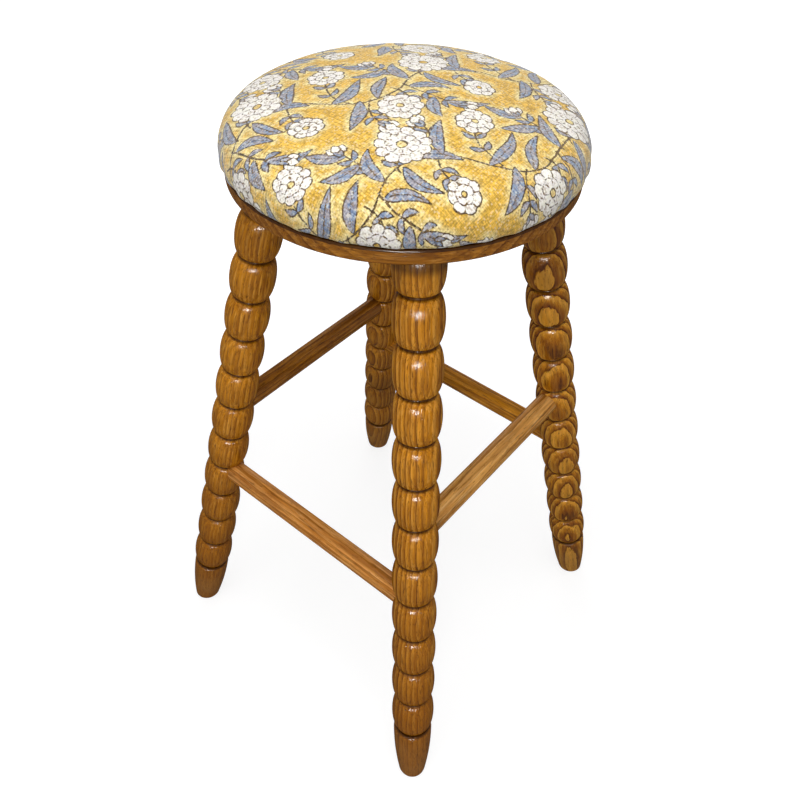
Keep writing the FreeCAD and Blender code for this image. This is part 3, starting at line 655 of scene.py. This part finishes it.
def cloth_print(cloth):
    """Distances to the white, the leaf and the ink areas of the print, negative inside.

    The cloth wavers as by hand, is turned, then folded into one block; the blocks stand in columns,
    every other one dropped by half a block. Each motif is laid over the earlier ones: stems, leaves,
    buds of three petals and two sepals, and blooms with an inner ring of petals and an open middle.
    """
    c, s = math.cos(BLOCK_TURN), math.sin(BLOCK_TURN)
    hand = np.sin(cloth[:, ::-1] / 7.0) + 0.7 * np.sin(cloth / 4.3 + 2.0)
    points = (cloth + 0.6 * hand) @ np.array([[c, s], [-s, c]])
    column = np.floor(points[:, 0] / BLOCK[0] + 0.5)
    points[:, 0] -= column * BLOCK[0]
    points[:, 1] += column % 2 * BLOCK[1] / 2
    points[:, 1] -= np.floor(points[:, 1] / BLOCK[1] + 0.5) * BLOCK[1]
    fields = {kind: np.full(len(points), FAR) for kind in ("white", "leaf", "ink", "ground")}

    def lay(distance, kind):
        for other in fields:
            fields[other] = np.maximum(fields[other], -distance)
        fields[kind] = np.minimum(fields[kind], distance)

    def stroke(distance, width):
        fields["ink"] = np.minimum(fields["ink"], distance - width / 2)

    shifts = ((0, 0), (0, 1), (0, -1), (1, 0.5), (1, -0.5), (-1, 0.5), (-1, -0.5))
    copies = [points - np.array(shift) * BLOCK for shift in shifts]
    for copy in copies:
        for curve in STEMS:
            stroke(stem(copy, *curve), STEM_LINE)
    for copy in copies:
        for start, tip, width, bow in leaflets():
            lay(nearby(copy, (start + tip) / 2, LEAFLET_REACH, lens, start, tip, width, bow), "leaf")
        for start, tip, width, bow in LEAVES:
            middle = np.add(start, tip) / 2
            lay(nearby(copy, middle, LEAF_REACH, lens, start, tip, width, bow), "leaf")
            stroke(nearby(copy, middle, LEAF_REACH, midrib, start, tip, bow), VEIN_LINE)
    for copy in copies:
        for base, tip, width in BUDS:
            run = np.subtract(tip, base)
            left = np.array([-run[1], run[0]])
            for turn in (-0.55, 0.55, 0.0):
                end = base + (run * math.cos(turn) + left * math.sin(turn)) * 1.15
                lay(nearby(copy, base, BUD_REACH, lens, base, end, width * 0.85, 0, 1.25), "white")
            for turn in (-0.5, 0.5):
                end = base + (run * math.cos(turn) + left * math.sin(turn)) * 0.62
                lay(nearby(copy, base, BUD_REACH, lens, base - run * 0.2, end, width * 0.42, 0), "leaf")
        for centre, radius, petals, turn in BLOOMS:
            reach = radius + FAR
            lay(nearby(copy, centre, reach, rosette, centre, radius, petals, turn), "white")
            gaps = nearby(copy, centre, reach, petal_lines, centre, radius, petals, turn, 0.62, 0.9)
            stroke(gaps, PETAL_LINE)
            fewer, later = petals - 2, turn + 0.4
            inner = nearby(copy, centre, reach, rosette, centre, radius * 0.58, fewer, later)
            stroke(np.abs(inner), VEIN_LINE)
            gaps = nearby(copy, centre, reach, petal_lines, centre, radius, fewer, later, 0.26, 0.46)
            stroke(gaps, VEIN_LINE)
            lay(np.hypot(*(copy - np.asarray(centre)).T) - radius * 0.17, "ground")
    return fields["white"], fields["leaf"], fields["ink"]


# Spacing of the threads as drawn, width of the cloth that the flat coordinates span, how far the print
# strays at a thread, and how far from a motif its thin dye starts and ends
THREAD = 1.5
CLOTH_SPAN = 430.0
RAG = 0.35
HALO = (1.0, 7.5)


def printed_slub_cotton():
    """Hand-loomed slub cotton with a block print: matt, speckled, its print ragged at the threads.

    Threads are drawn 1.5 mm apart, about twice as coarse as they are, so that they show.
    """
    material, tree = new_material("printed_slub_cotton")
    flat = add(tree, "ShaderNodeUVMap", uv_map="cloth")
    threads = add(tree, "ShaderNodeVectorMath", {0: flat, 1: (CLOTH_SPAN / THREAD,) * 3}, **TIMES)
    crossing = add(tree, "ShaderNodeVectorMath", {0: threads}, operation="FLOOR")
    fleck = add(tree, "ShaderNodeTexWhiteNoise", {"Vector": crossing}, noise_dimensions="2D")
    # Slubs run along the threads of the warp and the weft, each about seven threads long
    thick = []
    for drawn_out in ((1, 0.15, 1), (0.15, 1, 1)):
        run = add(tree, "ShaderNodeVectorMath", {0: threads, 1: drawn_out}, **TIMES)
        noise = {"Vector": run, "Scale": 1.0, "Detail": 1.0}
        thick.append(add(tree, "ShaderNodeTexNoise", noise, noise_dimensions="2D"))
    slub = add(tree, "ShaderNodeMath", dict(enumerate(thick)), operation="ADD")
    slub = add(tree, "ShaderNodeMapRange", {0: slub, 1: 0.7, 2: 1.3})

    ragged = add(tree, "ShaderNodeMapRange", {0: fleck, 3: -RAG, 4: RAG})
    areas = {}
    for kind in ("leaf", "white", "ink"):
        areas[kind] = add(tree, "ShaderNodeAttribute", output="Fac", attribute_name=kind)
    # Dye is thin round the motifs, in patches 20 mm across, and uneven over 7 mm
    nearest = add(tree, "ShaderNodeMath", {0: areas["leaf"], 1: areas["white"]}, operation="MINIMUM")
    nearest = add(tree, "ShaderNodeMath", {0: nearest, 1: areas["ink"]}, operation="MINIMUM")
    thin = add(tree, "ShaderNodeMapRange", {0: nearest, 1: HALO[0], 2: HALO[1], 3: 1.0, 4: 0.0}, **SMOOTH)
    patch = add(tree, "ShaderNodeTexNoise", {"Vector": flat, "Scale": CLOTH_SPAN / 20}, noise_dimensions="2D")
    patch = add(tree, "ShaderNodeMapRange", {0: patch, 1: 0.3, 2: 0.55})
    thin = add(tree, "ShaderNodeMath", {0: thin, 1: patch}, **TIMES)
    uneven = add(tree, "ShaderNodeTexNoise", {"Vector": flat, "Scale": CLOTH_SPAN / 7}, noise_dimensions="2D")
    uneven = add(tree, "ShaderNodeMapRange", {0: uneven, 1: 0.42, 2: 0.58})
    # Ink runs along every edge
    for kind in ("leaf", "white"):
        edge = add(tree, "ShaderNodeMath", {0: areas[kind]}, operation="ABSOLUTE")
        edge = add(tree, "ShaderNodeMath", {0: edge, 1: LINE / 2}, operation="SUBTRACT")
        areas["ink"] = add(tree, "ShaderNodeMath", {0: areas["ink"], 1: edge}, operation="MINIMUM")
    # Each dye: where it took poorly, then from its thickest to its thinnest in the slubs, where it took
    # well and where it took poorly
    dyes = {
        "ground": (thin, ("#ae892e", "#edbe4d"), ("#c6af6c", "#f1e1a2")),
        "leaf": (uneven, ("#5f7090", "#98a6b8"), ("#7a7882", "#aeaab0")),
        "white": (uneven, ("#dcd8cd", "#f2efe6"), ("#d9d3cf", "#efeae6")),
        "ink": (uneven, ("#2a1d12", "#54432f"), ("#38281a", "#665038")),
    }
    dyed = {}
    for kind, (poor, *pairs) in dyes.items():
        well, poorly = (
            add(tree, "ShaderNodeMix", {0: slub, 6: linear(low), 7: linear(high)}, **BLEND)
            for low, high in pairs
        )
        dyed[kind] = add(tree, "ShaderNodeMix", {0: poor, 6: well, 7: poorly}, **BLEND)
    cloth = dyed["ground"]
    for kind, area in areas.items():
        distance = add(tree, "ShaderNodeMath", {0: area, 1: ragged}, operation="ADD")
        share = add(tree, "ShaderNodeMapRange", {0: distance, 1: -RAG, 2: RAG, 3: 1.0, 4: 0.0}, **SMOOTH)
        cloth = add(tree, "ShaderNodeMix", {0: share, 6: cloth, 7: dyed[kind]}, **BLEND)
    # Undyed flecks and dark flecks, one thread crossing each
    pale_fleck = add(tree, "ShaderNodeMapRange", {0: fleck, 1: 0.84, 2: 0.92, 4: 0.3})
    cloth = add(tree, "ShaderNodeMix", {0: pale_fleck, 6: cloth, 7: linear("#f3ead2")}, **BLEND)
    dark_fleck = add(tree, "ShaderNodeMapRange", {0: fleck, 1: 0.22, 2: 0.12, 4: 0.45})
    cloth = add(tree, "ShaderNodeMix", {0: dark_fleck, 6: cloth, 7: linear("#8a6d3a")}, **BLEND)

    wave = add(tree, "ShaderNodeVectorMath", {0: threads, 1: (math.pi,) * 3}, **TIMES)
    wave = add(tree, "ShaderNodeVectorMath", {0: wave}, operation="SINE")
    over, under = (add(tree, "ShaderNodeSeparateXYZ", {0: wave}, output=axis) for axis in "XY")
    weave = add(tree, "ShaderNodeMath", {0: over, 1: under}, **TIMES)
    weave = add(tree, "ShaderNodeMath", {0: weave, 1: slub}, operation="ADD")
    bump = add(tree, "ShaderNodeBump", {"Strength": 0.5, "Distance": 0.35 * MM, "Height": weave})
    surface = add(
        tree, "ShaderNodeBsdfPrincipled",
        {
            "Base Color": cloth, "Roughness": 0.9, "Normal": bump, "Specular IOR Level": 0.1,
            "Sheen Weight": 0.35, "Sheen Roughness": 0.5,
        },
    )
    add(tree, "ShaderNodeOutputMaterial", {"Surface": surface})
    return material


# Seat pad

PAD_SIDE_CENTRE = PAD_WIDEST_RADIUS - PAD_SIDE_RADIUS
SIDE_RISE = PAD_HEIGHT - PAD_WIDEST_HEIGHT
CROWN_SQUARES = PAD_SIDE_CENTRE**2 + SIDE_RISE**2 - PAD_SIDE_RADIUS**2
PAD_CROWN_RADIUS = CROWN_SQUARES / (2 * (SIDE_RISE - PAD_SIDE_RADIUS))
CROWN_END = math.atan2(PAD_SIDE_CENTRE, PAD_WIDEST_HEIGHT - PAD_HEIGHT + PAD_CROWN_RADIUS)
TUCK_REACH = PAD_SIDE_RADIUS - PAD_TUCK_RADIUS
TUCK_DROP = PAD_WIDEST_HEIGHT - PAD_TUCK_RADIUS
SIDE_END = math.pi / 2 + math.asin(TUCK_DROP / TUCK_REACH)
PAD_BASE_RADIUS = PAD_SIDE_CENTRE + math.sqrt(TUCK_REACH**2 - TUCK_DROP**2)
CROWN_ARC = PAD_CROWN_RADIUS * CROWN_END
SIDE_ARC = PAD_SIDE_RADIUS * (SIDE_END - CROWN_END)
TUCK_ARC = PAD_TUCK_RADIUS * (math.pi - SIDE_END)
CLOTH_RADIUS = CROWN_ARC + SIDE_ARC + TUCK_ARC

# The stuffing lifts the cover from a line inside the solid pad: how far inside, by how much, and the share
# of that lost down the side. The cover clears the board by a hair.
COVER_INSET = 1.0
COVER_LIFT = 3.6
COVER_LIFT_LOST = 0.6
COVER_CLEARANCE = 0.05
# Points along a side of the simulated net and of the final net, and the most that the first may move
NET_COARSE = 65
NET_FINE = 401
SWELL_CAP = 2.0
# Frames that the simulation runs, and the share of the way down the side below which the net is held
SWELL_FRAMES = 20
SWELL_HELD = 0.8
# Gathers where the cover turns under: the share of the way down the side where they start, then for each
# wave its depth, its count round the edge, and the size and count of the sway in its spacing
GATHERS_START = 0.35
GATHERS = ((0.5, 31, 2.0, 3), (0.35, 47, 1.5, 5))


def pad_section(run, inset):
    """Radius and height where the cover is, a run along the cloth from the crown: three touching arcs.

    Each arc is centre + (radius - inset) * (sin a, cos a), with a growing along the run.
    """
    arcs = (
        (0.0, PAD_HEIGHT - PAD_CROWN_RADIUS, PAD_CROWN_RADIUS, 0.0, 0.0),
        (PAD_SIDE_CENTRE, PAD_WIDEST_HEIGHT, PAD_SIDE_RADIUS, CROWN_ARC, CROWN_END),
        (PAD_BASE_RADIUS, PAD_TUCK_RADIUS, PAD_TUCK_RADIUS, CROWN_ARC + SIDE_ARC, SIDE_END),
    )
    zones = [run < CROWN_ARC, run < CROWN_ARC + SIDE_ARC]
    angles = [begin + (run - before) / radius for _, _, radius, before, begin in arcs]
    radii = [r + (radius - inset) * np.sin(a) for (r, _, radius, _, _), a in zip(arcs, angles)]
    heights = [z + (radius - inset) * np.cos(a) for (_, z, radius, _, _), a in zip(arcs, angles)]
    return np.select(zones, radii[:2], radii[2]), np.select(zones, heights[:2], heights[2])


def cloth_grid(count):
    """A square net of cloth drawn to a disc: x = a sqrt(1 - b^2 / 2), y = b sqrt(1 - a^2 / 2)."""
    line = np.linspace(-1, 1, count)
    a, b = np.meshgrid(line, line, indexing="ij")
    disc = np.stack([a * np.sqrt(1 - b**2 / 2), b * np.sqrt(1 - a**2 / 2)], -1)
    return disc.reshape(-1, 2) * CLOTH_RADIUS


def over_pad(cloth):
    """The cloth's points laid over the pad: each keeps its bearing and its distance along the cover.

    It stands lift - inset off the solid pad over the crown, lift (1 - lost u^3) - inset when u of the
    way down the side, and goes the inset inside where it tucks under.
    """
    run = np.hypot(*cloth.T)
    down = np.clip((run - CROWN_ARC) / SIDE_ARC, 0, 1)
    under = np.clip((run - CROWN_ARC - SIDE_ARC) / TUCK_ARC, 0, 1)
    lift = COVER_LIFT * (1 - COVER_LIFT_LOST * down**3) * (1 - under)
    radius, height = pad_section(run, COVER_INSET - lift)
    out = cloth / np.maximum(run, 1e-9)[:, None]
    return np.column_stack([out * radius[:, None], BOARD_TOP + height])


def swollen(count):
    """How far each point of a coarse net of the cover moves when air fills it, its edge held down."""
    cloth = cloth_grid(count)
    points = over_pad(cloth)
    mesh = bpy.data.meshes.new("cover_net")
    mesh.from_pydata(points * MM, [], grid_quads(count, count).tolist())
    net = bpy.data.objects.new("cover_net", mesh)
    bpy.context.scene.collection.objects.link(net)
    held = net.vertex_groups.new(name="held")
    edge = np.flatnonzero(np.hypot(*cloth.T) > CROWN_ARC + SIDE_ARC * SWELL_HELD)
    held.add(edge.tolist(), 1.0, "REPLACE")
    blown = net.modifiers.new("blown", "CLOTH")
    blown.settings.quality = 6
    blown.settings.mass = 0.25
    blown.settings.tension_stiffness = 30
    blown.settings.compression_stiffness = 30
    blown.settings.bending_stiffness = 2
    blown.settings.vertex_group_mass = "held"
    blown.settings.use_pressure = True
    blown.settings.uniform_pressure_force = 4
    blown.settings.effector_weights.gravity = 0
    scene = bpy.context.scene
    for number in range(1, SWELL_FRAMES + 1):
        scene.frame_set(number)
    shape = net.evaluated_get(bpy.context.evaluated_depsgraph_get()).data
    moved = np.empty(len(points) * 3)
    shape.vertices.foreach_get("co", moved)
    scene.frame_set(1)
    bpy.data.objects.remove(net)
    bpy.data.meshes.remove(mesh)
    return moved.reshape(-1, 3) / MM - points


def make_pad():
    """The stuffed cover, shut below by a fan.

    A coarse net laid over the pad is swollen by simulation, its movement capped and carried to a fine
    net. Gathers move the edge in and out by depth * sin(count * bearing + sway * sin(beat * bearing)).
    """
    cloth = cloth_grid(NET_FINE)
    points = over_pad(cloth)
    move = swollen(NET_COARSE)
    size = np.linalg.norm(move, axis=1)[:, None]
    move *= np.minimum(1, SWELL_CAP / np.maximum(size, 1e-9))
    move = move.reshape(NET_COARSE, NET_COARSE, 3)
    coarse, fine = (np.linspace(0, 1, count) for count in (NET_COARSE, NET_FINE))
    spread = np.array([np.interp(fine, coarse, unit) for unit in np.eye(NET_COARSE)])
    points += np.einsum("ai,bj,abk->ijk", spread, spread, move).reshape(-1, 3)

    down = (np.hypot(*cloth.T) - CROWN_ARC) / SIDE_ARC
    near_edge = np.clip((down - GATHERS_START) / (1 - GATHERS_START), 0, 1) ** 2
    bearing = np.arctan2(cloth[:, 1], cloth[:, 0])
    gathers = sum(
        depth * np.sin(count * bearing + sway * np.sin(beat * bearing))
        for depth, count, sway, beat in GATHERS
    )
    outwards = points[:, :2] / np.hypot(*points[:, :2].T).clip(1)[:, None]
    points[:, :2] += outwards * (gathers * near_edge)[:, None]
    bottom = BOARD_TOP + COVER_CLEARANCE
    points[:, 2] = np.maximum(points[:, 2], bottom)

    middle = NET_FINE**2
    index = np.arange(middle).reshape(NET_FINE, NET_FINE)
    loop = np.concatenate([index[:-1, 0], index[-1, :-1], index[:0:-1, -1], index[0, :0:-1]])
    fan = np.stack([np.full(len(loop), middle), np.roll(loop, -1), loop], 1)
    points = np.vstack([points, [0, 0, bottom]])
    faces = grid_quads(NET_FINE, NET_FINE).tolist() + fan.tolist()
    pad = place("stuffed_seat_pad", points, faces, printed_slub_cotton())

    flat = np.vstack([cloth, [0, 0]]) / CLOTH_SPAN + 0.5
    corners = np.empty(len(pad.data.loops), np.int32)
    pad.data.loops.foreach_get("vertex_index", corners)
    pad.data.uv_layers.new(name="cloth").data.foreach_set("uv", flat[corners].ravel())
    white, leaf, ink = (np.append(field, FAR) for field in cloth_print(cloth))
    paint(pad, white=white, leaf=leaf, ink=ink)
    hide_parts("seat_cover", "wadding", "foam_pad")


make_pad()


# Hidden pieces

def zinc_plated_steel():
    """Zinc-plated steel wire and screws: bright grey, faintly blotched by the plating."""
    material, tree = new_material("zinc_plated_steel")
    place_on = add(tree, "ShaderNodeTexCoord", output="Object")
    # Plating blotches 1.5 mm across
    blotch = add(tree, "ShaderNodeTexNoise", {"Vector": place_on, "Scale": 1 / (1.5 * MM), "Detail": 2.0})
    tone = add(tree, "ShaderNodeMix", {0: blotch, 6: linear("#9d9d98"), 7: linear("#c9c9c4")}, **BLEND)
    rough = add(tree, "ShaderNodeMapRange", {0: blotch, 3: 0.28, 4: 0.45})
    surface = add(tree, "ShaderNodeBsdfPrincipled", {"Base Color": tone, "Metallic": 1.0, "Roughness": rough})
    add(tree, "ShaderNodeOutputMaterial", {"Surface": surface})
    return material


def bare_plywood():
    """Sanded birch plywood: pale veneers 1.5 mm thick, every other one seen on its end grain."""
    material, tree = new_material("bare_plywood")
    place_in = add(tree, "ShaderNodeTexCoord", output="Object")
    # Veneers in pairs, 3 mm thick together
    up = add(tree, "ShaderNodeSeparateXYZ", {0: place_in}, output="Z")
    ply = add(tree, "ShaderNodeMath", {0: up, 1: 1 / (3 * MM)}, **TIMES)
    ply = add(tree, "ShaderNodeMath", {0: ply}, operation="FRACT")
    ply = add(tree, "ShaderNodeMath", {0: ply, 1: 0.5}, operation="GREATER_THAN")
    # Fibres 0.8 mm wide and 40 mm long
    drawn_out = (1 / (40 * MM), 1 / (0.8 * MM), 1 / (0.8 * MM))
    fine = add(tree, "ShaderNodeVectorMath", {0: place_in, 1: drawn_out}, **TIMES)
    fibre = add(tree, "ShaderNodeTexNoise", {"Vector": fine, "Scale": 1.0, "Detail": 2.0})
    veneer = add(tree, "ShaderNodeMix", {0: ply, 6: linear("#d8b88a"), 7: linear("#b98f5e")}, **BLEND)
    tone = add(tree, "ShaderNodeMix", {0: fibre, 6: veneer, 7: linear("#c9a36f")}, **BLEND)
    surface = add(tree, "ShaderNodeBsdfPrincipled", {"Base Color": tone, "Roughness": 0.7})
    add(tree, "ShaderNodeOutputMaterial", {"Surface": surface})
    return material


def dress(node, material):
    """Gives a piece of the part its finish in place of the plain one."""
    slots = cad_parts[node].data.materials
    slots.clear()
    slots.append(material)


# Wedges: how far their pith lies above the board, and their rings' width and vigour
WEDGE_PITH_RISE = 60.0
WEDGE_RING = 4.0
WEDGE_VIGOUR = (0.2, 0.7)

steel = zinc_plated_steel()
dress("pad_screws", steel)
dress("cover_staples", steel)
dress("pad_board", bare_plywood())
wedge_pith = (0, 0, BOARD_TOP + WEDGE_PITH_RISE)
wedge_grain = axes_along((0, 0, -1), (1, 0, 0))
wedge_wood = lacquered_hardwood(
    "bare_hardwood_wedges", wedge_pith, wedge_grain, WEDGE_RING, WEDGE_VIGOUR, STAINS["bare"]
)
for corner in LEGS:
    dress(f"wedge_{corner}", wedge_wood)


# Studio

# Half the floor's width in metres, and how much of its look is its own light instead of the lamps'
FLOOR_HALF = 30.0
FLOOR_GLOW = 0.7


def shown_as_background(tree):
    """1 where the camera, a reflection or a view through glass meets the surface, 0 for other light."""
    rays = ("Is Camera Ray", "Is Glossy Ray", "Is Transmission Ray")
    camera, gloss, glass = (add(tree, "ShaderNodeLightPath", output=ray) for ray in rays)
    seen = add(tree, "ShaderNodeMath", {0: camera, 1: gloss}, operation="MAXIMUM")
    return add(tree, "ShaderNodeMath", {0: seen, 1: glass}, operation="MAXIMUM")


def make_floor():
    """A wide floor that looks white, keeps the stool's shadow and throws little light back."""
    mesh = bpy.data.meshes.new("studio_floor")
    corners = [(x * FLOOR_HALF, y * FLOOR_HALF, 0) for x, y in ((-1, -1), (1, -1), (1, 1), (-1, 1))]
    mesh.from_pydata(corners, [], [(0, 1, 2, 3)])
    material, tree = new_material("white_studio_paper")
    seen = shown_as_background(tree)
    paper = add(tree, "ShaderNodeMix", {0: seen, 6: linear("#484848"), 7: linear("#ffffff")}, **BLEND)
    matt = add(tree, "ShaderNodeBsdfDiffuse", {"Color": paper})
    # Brighter from 350 mm to 900 mm out, where the lamps fall off
    spot = add(tree, "ShaderNodeTexCoord", output="Object")
    reach = add(tree, "ShaderNodeVectorMath", {0: spot}, output="Value", operation="LENGTH")
    reach = add(tree, "ShaderNodeMapRange", {0: reach, 1: 350 * MM, 2: 900 * MM, 3: 1.12, 4: 1.45})
    bright = add(tree, "ShaderNodeEmission", {"Color": (1, 1, 1, 1), "Strength": reach})
    share = add(tree, "ShaderNodeMath", {0: seen, 1: FLOOR_GLOW}, **TIMES)
    surface = add(tree, "ShaderNodeMixShader", {0: share, 1: matt, 2: bright})
    add(tree, "ShaderNodeOutputMaterial", {"Surface": surface})
    mesh.materials.append(material)
    floor = bpy.data.objects.new("studio_floor", mesh)
    bpy.context.scene.collection.objects.link(floor)


def make_world():
    """White all round to the eye and in reflections, and a soft grey light on everything else."""
    world = bpy.data.worlds.new("studio")
    bpy.context.scene.world = world
    world.use_nodes = True
    tree = world.node_tree
    tree.nodes.clear()
    strength = add(tree, "ShaderNodeMapRange", {0: shown_as_background(tree), 3: 0.28, 4: 1.0})
    light = add(tree, "ShaderNodeBackground", {"Color": (1, 1, 1, 1), "Strength": strength})
    add(tree, "ShaderNodeOutputWorld", {"Surface": light})


def soft_box(name, spot, target, width, height, power, gloss_only=False):
    """A flat lamp that faces a target point; one for gloss only shows in lacquer and lights nothing."""
    lamp = bpy.data.lights.new(name, "AREA")
    lamp.shape = "RECTANGLE"
    lamp.size = width
    lamp.size_y = height
    lamp.energy = power
    box = bpy.data.objects.new(name, lamp)
    box.location = spot
    box.rotation_euler = (Vector(target) - Vector(spot)).to_track_quat("-Z", "Y").to_euler()
    box.visible_diffuse = not gloss_only
    bpy.context.scene.collection.objects.link(box)


# Viewpoint: its turn from the front, its rise above the horizon and its roll, in degrees; its distance
# from the point it faces, that point's height, its lens and its sensor, in millimetres; and its shift
# in picture widths
CAMERA_TURN = math.radians(38.354)
CAMERA_RISE = math.radians(39.643)
CAMERA_ROLL = math.radians(1.66)
CAMERA_DISTANCE = 917.838
CAMERA_TARGET = 474.207
CAMERA_LENS = 37.673
CAMERA_SENSOR = 36.0
CAMERA_SHIFT = (0.00064, -0.0937)


def make_camera():
    """Camera axes: back along the line of sight, right and up turned about it by the roll."""
    back = Vector((
        math.sin(CAMERA_TURN) * math.cos(CAMERA_RISE),
        -math.cos(CAMERA_TURN) * math.cos(CAMERA_RISE),
        math.sin(CAMERA_RISE),
    ))
    right = Vector((0, 0, 1)).cross(back).normalized()
    up = back.cross(right)
    level = Matrix((right, up, back)).transposed().to_4x4()
    lens_data = bpy.data.cameras.new("photo_camera")
    lens_data.lens = CAMERA_LENS
    lens_data.sensor_width = CAMERA_SENSOR
    lens_data.shift_x, lens_data.shift_y = CAMERA_SHIFT
    lens_data.clip_start, lens_data.clip_end = 0.01, 100
    camera = bpy.data.objects.new("photo_camera", lens_data)
    centre = Vector((0, 0, CAMERA_TARGET)) + back * CAMERA_DISTANCE
    camera.matrix_world = Matrix.Translation(centre * MM) @ level @ Matrix.Rotation(CAMERA_ROLL, 4, "Z")
    bpy.context.scene.collection.objects.link(camera)
    bpy.context.scene.camera = camera


make_floor()
make_world()
# Each lamp's place and the point it faces, its width and height, in metres, and its power in watts
soft_box("overhead_box", (0.15, -0.3, 1.75), (0, 0, 0.5), 1.2, 1.2, 17)
soft_box("front_box", (1.25, -1.75, 0.75), (0, 0, 0.45), 0.6, 0.4, 19)
soft_box("back_box", (-1.3, 1.65, 0.7), (0, 0, 0.4), 1.6, 1.0, 15)
soft_box("shine_card", (1.25, -1.7, 0.85), (0, 0, 0.45), 0.8, 0.36, 90, gloss_only=True)
make_camera()
bpy.context.scene.view_settings.view_transform = "Standard"
